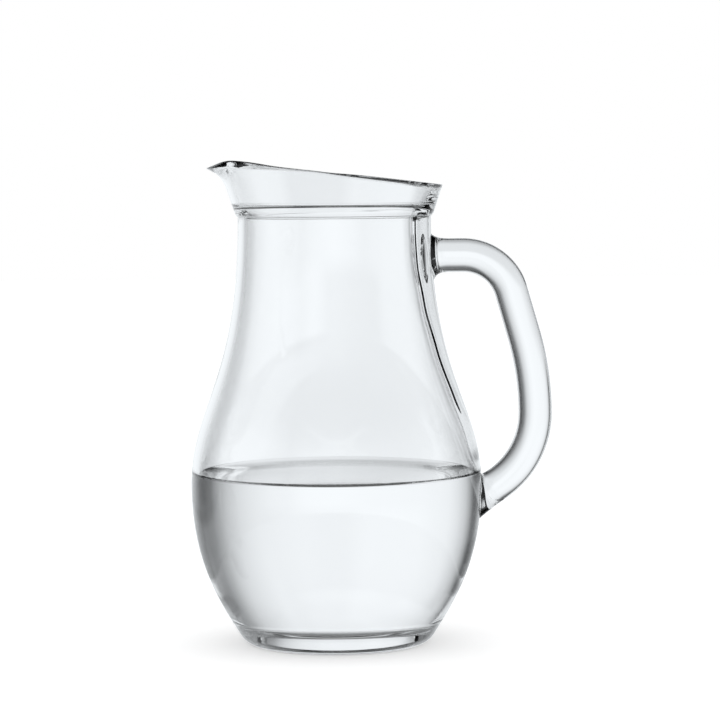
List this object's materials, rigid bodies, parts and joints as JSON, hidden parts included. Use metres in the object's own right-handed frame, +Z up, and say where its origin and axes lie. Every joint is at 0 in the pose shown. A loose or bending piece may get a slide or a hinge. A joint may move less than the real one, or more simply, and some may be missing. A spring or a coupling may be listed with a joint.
{
  "type": "glass water jug",
  "caption": "Glass water jug with a rounded belly, straight neck, slanted rim drawn into a pouring lip, solid glass handle and water filled to the belly.",
  "frame": {"origin": "on the vessel's axis, in the plane of the ring it stands on", "axes": "+Z up along the vessel's axis, +X towards the handle, -X towards the pouring lip; the jug is alike on both sides of Y = 0"},
  "size_m": [0.1446, 0.1162, 0.1945],
  "materials": {
    "body_glass": "polished",
    "handle_glass": "polished",
    "water": "polished"
  },
  "bodies": {
    "root": {"glass_body": "body_glass", "glass_handle": "handle_glass", "water": "water"}
  },
  "joints": []
}
